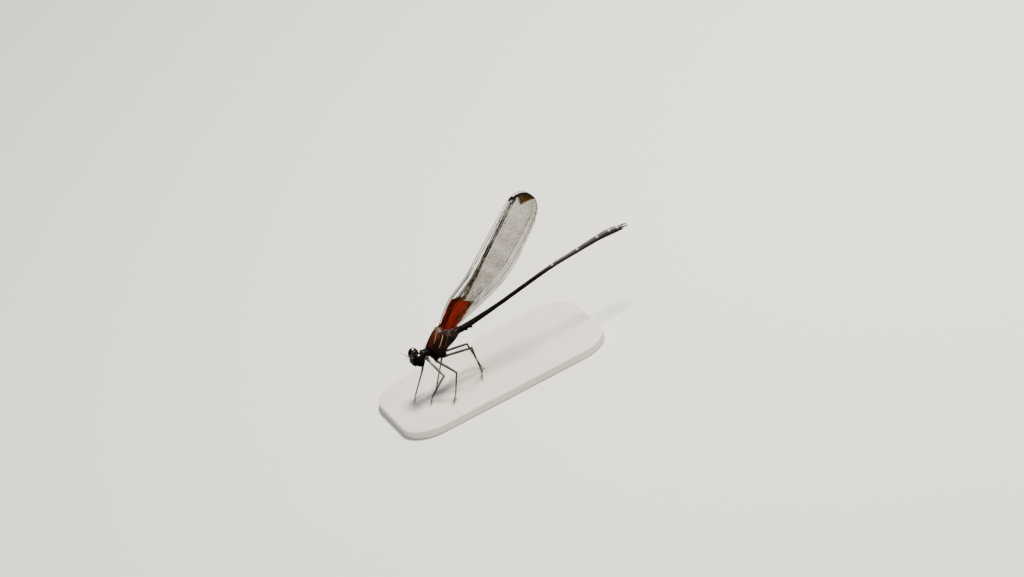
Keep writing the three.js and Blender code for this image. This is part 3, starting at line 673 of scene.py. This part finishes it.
leg_cuticle = cuticle("leg_cuticle", 0.45, coat=1.0, specular=0.8)
for name, knots in LEGS.items():
    root, hip, knee, ankle, toe = (np.array(knot, float) for knot in knots)
    ring_end = hip + RING_SHARE * (knee - hip)
    shells = [tube([root, (root + hip) / 2, hip], HIP_RADII, 18, 14),
              tube([hip, ring_end], RING_RADII, 14, 6),
              tube([ring_end, hip + 0.5 * (knee - hip), knee], THIGH_RADII, 16, 24),
              ball(knee, [KNEE_RADIUS] * 3, 12, 16),
              tube([knee, knee + 0.5 * (ankle - knee), ankle], SHIN_RADII, 14, 24)]
    foot = toe - ankle
    sole = ankle + foot * np.array(FOOT_JOINTS)[:, None] + (0, 0, -SOLE_DROP)
    for near, far in zip(sole[:-1], sole[1:]):
        shells.append(tube([near, far], FOOT_RADII, 12, 8))
    heading = foot / np.linalg.norm(foot)
    level = np.cross(heading, (0, 0, 1))
    for hand in SIDES.values():
        bend = toe + CLAW_LENGTH / 2 * heading + hand * CLAW_SPREAD * level + (0, 0, CLAW_ARCH)
        tip = toe + CLAW_LENGTH * heading + hand * CLAW_SPREAD * CLAW_TIP_SPREAD * level
        shells.append(tube([toe, bend, tip - (0, 0, CLAW_DROP)], CLAW_RADII, 8, 10))
    bloom_and_sheen_count = sum(len(shell[0]) for shell in shells)
    shells += [bristle_rows(ring_end, knee, *BRISTLES["thigh"]),
               bristle_rows(knee, ankle, *BRISTLES["shin"]),
               bristle_rows(ankle, toe, *BRISTLES["foot"])]
    points, faces = gathered(shells)
    points[:, 2] = np.maximum(points[:, 2], 0.0)  # nothing reaches below the level of the soles
    # grey over the leg but not its bristles: part bloom, part painted sheen
    leg_sheen_and_bloom = np.zeros(len(points))
    leg_sheen_and_bloom[:bloom_and_sheen_count] = LEG_BLOOM_AND_SHEEN
    tint = layered("#0c0c0d", [(leg_sheen_and_bloom, "#56565a")])
    leg = piece(f"leg_{name}_limb", points, faces, leg_cuticle, tint)
    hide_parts(*(f"leg_{name}_{part}" for part in ("thigh", "shin", "foot")))


# Hairs: short brown hairs of chitin stand all over the thorax and the neck shield but for the
# underside. They are thin solid spines, drawn coarser than real ones, and spread at random.
HAIR_COUNT, HAIR_WIDTH, HAIR_LENGTHS, HAIR_ROOT = 1100, 0.022, (0.18, 0.5), 0.03
HAIR_LEAN, HAIR_SCATTER, BARE_BELOW = (0.35, 0, 0.1), 0.22, 6.6

place = chance.choice(len(thorax_points), HAIR_COUNT, replace=False)
place = place[thorax_points[place, 2] > BARE_BELOW]
ways = thorax_normals[place] + HAIR_LEAN + chance.normal(0, HAIR_SCATTER, (len(place), 3))
points, faces = spikes(thorax_points[place] - thorax_normals[place] * HAIR_ROOT, ways,
                       chance.uniform(*HAIR_LENGTHS, len(place)), HAIR_WIDTH)
hairs = piece("thorax_hairs", points, faces, painted("hair_brown_chitin", 0.5, "#4a3a30"))


# Wings: four sheets of clear membrane a few micrometres thick, stiffened by a dense net of dark
# veins and closed over the back. Crimson fills the base behind the leading veins, the hind tips are
# dark, and a dark cell marks each leading edge. Membrane and vein net are separate pieces.
WINGS = {  # in mm, lean in degrees; layer 1 is the outer pair, row is half a row vein's width
    "fore": {"root": (-0.8, 11.5), "lean": 38.9, "length": 29.4, "narrow": 0.75, "wide": 6.2,
             "start": 0.13, "bow": 0.85, "layer": 1, "patch_end": 6.6, "patch_back": 1.3,
             "cell": 27.0, "row": 0.028},
    "hind": {"root": (0.72, 10.45), "lean": 42.0, "length": 28.8, "narrow": 0.5, "wide": 6.4,
             "start": -0.2, "bow": 0.15, "layer": 0, "patch_end": 5.9, "patch_back": 0.9,
             "cell": 27.3, "row": 0.017}}
LAYER_GAP, LAYER_THICKNESS, TIP_THINNING = 0.3, 0.53, 0.45
FILM_LIFT, FILM_MM, PLEAT_MM, HALF_PLEAT = 0.07, 0.008, 0.03, 0.3
TIP_BEHIND, HIDDEN_ROOT = 2.8, 0.8
SUBCOSTA_BEHIND, RADIUS_BEHIND, NODUS_MM = 0.24, 0.45, 12.2
# Half widths of the main veins. All veins are drawn wider than life, so that they show.
FRONT_HALF, EDGE_HALF, NODUS_HALF, FRONT_CROSS_HALF = 0.065, 0.045, 0.05, 0.011
ROW_START, ROW_SLOPE, ROW_SPACING, FAN_MM = 0.7, 0.18, 0.48, 14.0
FIRST_ROW, LAST_ROW, PAST_LAST_ROW = -10, 6, 60
ROWS_FROM, FAN_FROM, SPLIT_MM = 0.5, 1.0, 6.0
CELL_MM, CELL_SCATTER, NARROWEST_CELL = 0.5, 0.12, 0.08
FRONT_CELL_MM, FRONT_CELL_SCATTER = 0.5, 0.06
SPOT_CORNER, SPOT_SLOPE = (26.5, 2.1), 1.07  # where the hind wing's dark tip begins
CLEAR_ALPHA, DENSEST_ALPHA = 0.075, 0.97
RIPPLE_MM, RIPPLE_DEPTH_MM = 0.5, 0.02


def wing_edges(wing, along):
    """Leading and trailing edge in mm behind the wing's axis, at mm along it.

    The width rises as a sine to 60% of the length, then both edges round off and meet at the tip;
    the leading edge bows forward near the root as a bell curve.
    """
    u = np.clip(along / wing["length"], 0, 1)
    rise = np.sin(np.pi / 2 * np.clip((u + 0.03) / 0.63, 0, 1)) ** 1.25
    past = np.clip((u - 0.6) / 0.4, 0, 1)
    tipward = np.clip((u - 0.86) / 0.14, 0, 1)
    straight = wing["start"] - wing["bow"] * np.exp(-((u - 0.16) / 0.13) ** 2)
    lead = straight + (TIP_BEHIND - straight) * (1 - np.sqrt(1 - tipward ** 2.4))
    full = wing["narrow"] + (wing["wide"] - wing["narrow"]) * rise
    trail = np.where(u < 0.6, full, TIP_BEHIND + (full - TIP_BEHIND) * np.sqrt(1 - past ** 5))
    return lead, trail


def on_wing(wing, side, along, behind, lift=0.0):
    """A point of the film, mm along the wing's axis and behind it, pleated a little in front."""
    front = behind - wing_edges(wing, along)[0]
    thin = 1 - TIP_THINNING * smooth(along / wing["length"], 0.6, 1.0)
    pleat = PLEAT_MM * np.cos(np.pi * front / HALF_PLEAT) * (1 - smooth(front, 0.5, 1.0))
    depth = LAYER_GAP / 2 + FILM_LIFT + wing["layer"] * (LAYER_THICKNESS * thin + LAYER_GAP)
    angle = math.radians(wing["lean"])
    return np.stack((wing["root"][0] + along * math.cos(angle) + behind * math.sin(angle),
                     side * (depth + pleat) + lift,
                     wing["root"][1] + along * math.sin(angle) - behind * math.cos(angle)), -1)


def radius_vein(wing, along):
    """The radius runs at an even distance behind the leading edge and meets it near the tip."""
    lead, _ = wing_edges(wing, along)
    narrowing = smooth(along, -1.5, 2.5) * (1 - smooth(along / wing["length"], 0.88, 0.95))
    return lead + RADIUS_BEHIND * narrowing


def row_vein(row, along):
    """Row veins lean back by 10 degrees; those behind the middle one fan out of the root."""
    fan = smooth(along, 0, FAN_MM) if row > 0 else 1.0
    return ROW_START + ROW_SLOPE * along + ROW_SPACING * row * fan


def crimson(wing, along, behind):
    """1 inside the crimson patch: from the radius back to the middle row, with a ragged end."""
    middle = np.maximum(row_vein(0, along), wing["patch_back"])
    slant = 0.9 * np.maximum(wing["patch_back"] - 0.2 - behind, 0)
    end = wing["patch_end"] - slant + 0.1 * np.sin(5 * behind)
    ahead = smooth(behind - radius_vein(wing, along), -0.06, 0.06)
    return (1 - smooth(along, end - 0.08, end + 0.08)) * ahead * (
        1 - smooth(behind - middle, -0.06, 0.06))


def rim(along, half):
    """The four corners of a square section, crossways to a line on the wing."""
    across = np.cross(along, (0, 1.0, 0))
    across /= np.linalg.norm(across, axis=1, keepdims=True)
    flat, tall = np.array(((-1, -1), (1, -1), (1, 1), (-1, 1))).T
    corner = across[:, None] * flat[:, None] + np.array((0, 1.0, 0)) * tall[:, None]
    return corner * np.broadcast_to(half, len(along))[:, None, None]


def vein(points, half):
    """A square tube along a line of points, closed at both ends, with its half width in mm."""
    return closed_skin(points[:, None] + rim(np.gradient(points, axis=0), half))


def bars(starts, ends, half):
    """Square bars between pairs of points in the wing's plane, closed at both ends."""
    ring = rim(ends - starts, half)
    points = np.concatenate((starts[:, None] + ring, ends[:, None] + ring), 1).reshape(-1, 3)
    first = 8 * np.arange(len(starts))[:, None]
    corners = ((0, 1, 2, 3), (4, 7, 6, 5), (0, 4, 5, 1), (1, 5, 6, 2), (2, 6, 7, 3), (3, 7, 4, 0))
    return points, [np.concatenate([first + corner for corner in corners])]


def steps_to_tip(start, end, count):
    """Stations that crowd towards the tip, where the edge turns: end - (end - start) (1 - t)^1.8."""
    return end - (end - start) * (1 - np.linspace(0, 1, count)) ** 1.8


def membrane_film(nodes):
    """Dried chitin film: a faint straw tint, dense where the attribute's alpha is, rippled as if wet."""
    tint = add(nodes, "ShaderNodeVertexColor", layer_name="tint")
    place = add(nodes, "ShaderNodeTexCoord").outputs["Object"]
    ripple = add(nodes, "ShaderNodeTexNoise", {"Vector": place, "Scale": 1000 / RIPPLE_MM,
                                               "Detail": 3.0})
    bump = add(nodes, "ShaderNodeBump", {"Height": ripple.outputs["Fac"], "Strength": 0.3,
                                         "Distance": RIPPLE_DEPTH_MM * 0.001})
    return {"Base Color": tint.outputs["Color"], "Alpha": tint.outputs["Alpha"],
            "Normal": bump.outputs["Normal"], "Specular IOR Level": 0.25}


def dense(mask):
    """A colour's mask reaches out past its alpha's, so that no pale rim shows round a dark patch."""
    return smooth(mask, 0, 0.1).ravel()


def film_tint(pair, wing, along, behind):
    """The film's colours and alpha: clear, browner in front and behind, with the dark patches."""
    lead, trail = wing_edges(wing, along)
    patch = crimson(wing, along, behind)
    streak = 0.5 + 0.5 * np.cos(2 * np.pi * (behind - row_vein(0, along)) / (2 * ROW_SPACING))
    strip = (1 - smooth(behind - radius_vein(wing, along), -0.05, 0.05)) * smooth(along, 6, 9)
    stigma = line(along, wing["cell"], 0.6) * line(behind - lead, 0.2, 0.17)
    stigma = smooth(stigma, 0.3, 0.45)
    smoke = smooth(along, 14, 26) * smooth(behind - trail, -1.6, -0.2)
    spot = smooth(along - SPOT_CORNER[0] - SPOT_SLOPE * np.abs(behind - SPOT_CORNER[1]), -0.5, 0.5)
    spot *= pair == "hind"
    tint = layered("#96742a", [
        (strip.ravel(), "#40381f"), (smoke.ravel(), "#6a5426"),
        (dense(spot), "#120b07"), (dense(spot) * (1 - smooth(along, 27.4, 28.2)).ravel(), "#4d2a13"),
        (dense(patch), "#5f0b04"), (dense(patch) * streak.ravel(), "#981404"),
        (dense(stigma), "#120d0b")])
    tint[:, 3] = np.clip(CLEAR_ALPHA + 0.06 * strip + 0.07 * smoke + 0.95 * patch + 0.95 * stigma
                         + 0.93 * spot, 0, DENSEST_ALPHA).ravel()
    return tint.reshape(*along.shape, 4)


def membrane(pair, wing, side):
    """The film's two faces as one closed skin, root to tip, and the tint of its points."""
    along, share = np.meshgrid(steps_to_tip(-HIDDEN_ROOT, wing["length"], 330), np.linspace(0, 1, 56),
                               indexing="ij")
    lead, trail = wing_edges(wing, along)
    behind = lead + share * (trail - lead)
    top, bottom = (on_wing(wing, side, along, behind, lift) for lift in (FILM_MM / 2, -FILM_MM / 2))
    points, faces = closed_skin(np.concatenate((top, bottom[:, ::-1]), 1))
    tint = film_tint(pair, wing, along, behind)
    tint = np.concatenate((tint, tint[:, ::-1]), 1).reshape(-1, 4)
    return points, faces, np.concatenate((tint, tint[[0, -1]]))


def long_veins(wing, side):
    """Leading edge, trailing edge, radius and subcosta, then the rows, every fourth one heavier.

    The odd rows behind the middle one begin at the split, where the fan has opened.
    """
    at = steps_to_tip(-HIDDEN_ROOT, wing["length"], 260)
    lead, trail = wing_edges(wing, at)
    radius_at = radius_vein(wing, at)
    taper = 1 - 0.4 * smooth(at, 2, wing["length"])
    main = at < 0.95 * wing["length"]
    early = at < NODUS_MM
    shells = [vein(on_wing(wing, side, at, lead), FRONT_HALF * taper),
              vein(on_wing(wing, side, at, trail), EDGE_HALF * taper),
              vein(on_wing(wing, side, at[main], radius_at[main]), FRONT_HALF * taper[main]),
              vein(on_wing(wing, side, at[early], lead[early] + SUBCOSTA_BEHIND), EDGE_HALF)]
    for row in range(FIRST_ROW, LAST_ROW + 1):
        begins = SPLIT_MM if row > 0 and row % 2 else ROWS_FROM
        behind = row_vein(row, at)
        inside = np.flatnonzero((behind > radius_at) & (behind < trail) & (at > begins))
        stretch = slice(max(inside[0] - 1, 0), inside[-1] + 2)
        heavy = wing["row"] * (1.3 if row % 4 == 0 else 1.0)
        behind = np.clip(behind, radius_at, trail)[stretch]
        shells.append(vein(on_wing(wing, side, at[stretch], behind), heavy * taper[stretch]))
    return shells


def cross_veins(wing, side):
    """Rungs between neighbouring rows and along the front band, unevenly spaced, and the nodus."""
    ladders = [(row, row + 1, SPLIT_MM if row >= 0 else ROWS_FROM, wing["length"])
               for row in range(FIRST_ROW - 1, LAST_ROW)]
    ladders += [(row, row + 2, FAN_FROM, SPLIT_MM) for row in range(0, LAST_ROW, 2)]
    ladders.append((LAST_ROW, PAST_LAST_ROW, FAN_FROM, wing["length"]))
    shells = []
    for near, far, begins, ends in ladders:
        at = np.arange(begins, ends - 0.2, CELL_MM)
        at = at + chance.uniform(-CELL_SCATTER, CELL_SCATTER, len(at))
        low, high = radius_vein(wing, at), wing_edges(wing, at)[1]
        first = np.clip(row_vein(near, at), low, high)
        second = np.clip(row_vein(far, at), low, high)
        wide = second - first > NARROWEST_CELL
        shells.append(bars(on_wing(wing, side, at[wide], first[wide]),
                           on_wing(wing, side, at[wide], second[wide]), wing["row"] / 2))
    band = np.arange(0.3, 0.93 * wing["length"], FRONT_CELL_MM)
    band = band + chance.uniform(-FRONT_CELL_SCATTER, FRONT_CELL_SCATTER, len(band))
    for at, half in ((band, FRONT_CROSS_HALF), (np.array([NODUS_MM]), NODUS_HALF)):
        shells.append(bars(on_wing(wing, side, at, wing_edges(wing, at)[0]),
                           on_wing(wing, side, at, radius_vein(wing, at)), half))
    return shells


bpy.context.scene.cycles.transparent_max_bounces = 32  # light goes on through eight faces of film
film = painted("wing_chitin_film", 0.3, build=membrane_film)
vein_cuticle = cuticle("wing_vein_cuticle", 0.4, coat=0.0, specular=0.1)
for pair, wing in WINGS.items():
    for name, side in SIDES.items():
        points, faces, tint = membrane(pair, wing, side)
        sail = piece(f"wing_{pair}_{name}_membrane", points, faces, film, tint)
        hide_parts(f"wing_{pair}_{name}")

        points, faces = gathered(long_veins(wing, side) + cross_veins(wing, side))
        lean = math.radians(wing["lean"])
        out, rise = points[:, 0] - wing["root"][0], points[:, 2] - wing["root"][1]
        run = out * math.cos(lean) + rise * math.sin(lean)
        back = out * math.sin(lean) - rise * math.cos(lean)
        tint = layered("#100b07", [(crimson(wing, run, back + 0.12), "#650f06")])
        net = piece(f"wing_{pair}_{name}_veins", points, faces, vein_cuticle, tint)
